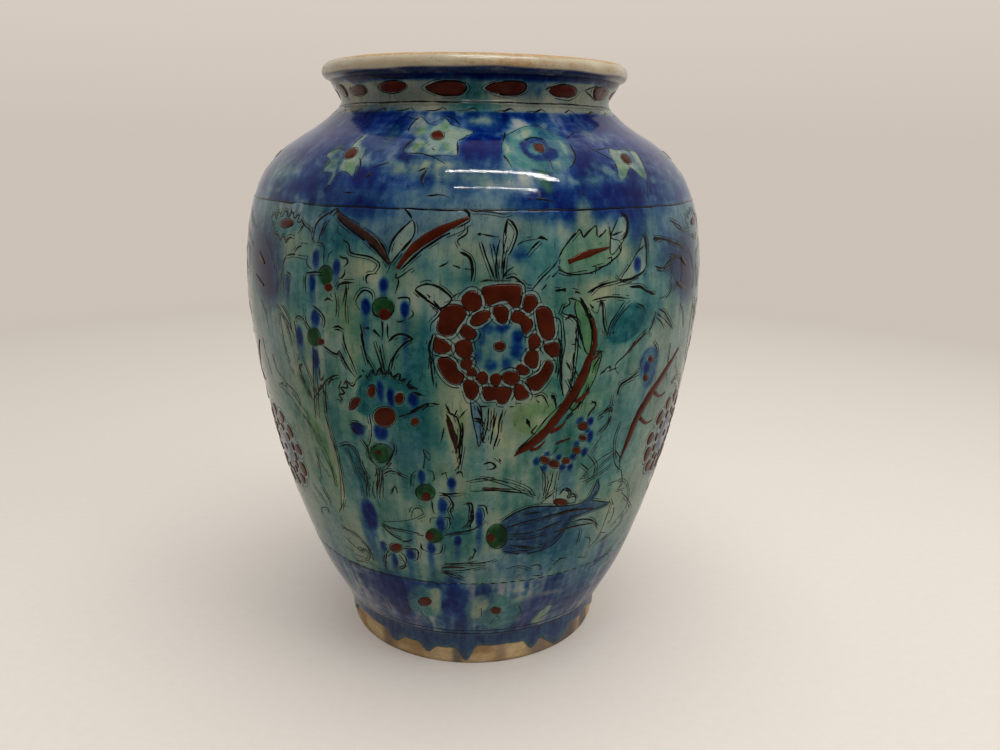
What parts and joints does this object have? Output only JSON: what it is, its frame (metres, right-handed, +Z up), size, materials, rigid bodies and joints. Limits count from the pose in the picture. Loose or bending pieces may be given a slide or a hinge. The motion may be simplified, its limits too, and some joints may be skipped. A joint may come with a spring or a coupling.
{
  "type": "earthenware vase",
  "caption": "Baluster earthenware vase with a turned foot, full shoulder, short waisted neck and rolled lip, thrown in luted sections and glazed, for cut stems or display.",
  "frame": {"origin": "centre of the circle that the foot ring stands on", "axes": "+Z up the vase's turning axis towards the mouth; the side seen in the picture faces -Y"},
  "size_m": [0.2664, 0.2664, 0.338],
  "materials": {
    "buff_clay": "bare fired buff clay, matt",
    "luting_slip": "fired slip, matt",
    "cobalt_glaze": "cobalt blue under gloss glaze",
    "turquoise_glaze": "turquoise and cream washes under gloss glaze",
    "cream_glaze": "cream gloss glaze, worn on the lip",
    "lining_glaze": "plain pale glaze"
  },
  "bodies": {
    "root": {"foot_ring": "buff_clay", "foot_slip": "luting_slip", "lower_body": "buff_clay", "girth_slip": "luting_slip", "upper_body": "buff_clay", "neck_slip": "luting_slip", "neck_collar": "buff_clay", "lip_roll": "cream_glaze", "foot_glaze": "cobalt_glaze", "band_glaze": "cobalt_glaze", "field_glaze": "turquoise_glaze", "shoulder_glaze": "cobalt_glaze", "neck_glaze": "cream_glaze", "lining_glaze": "lining_glaze"}
  },
  "joints": []
}
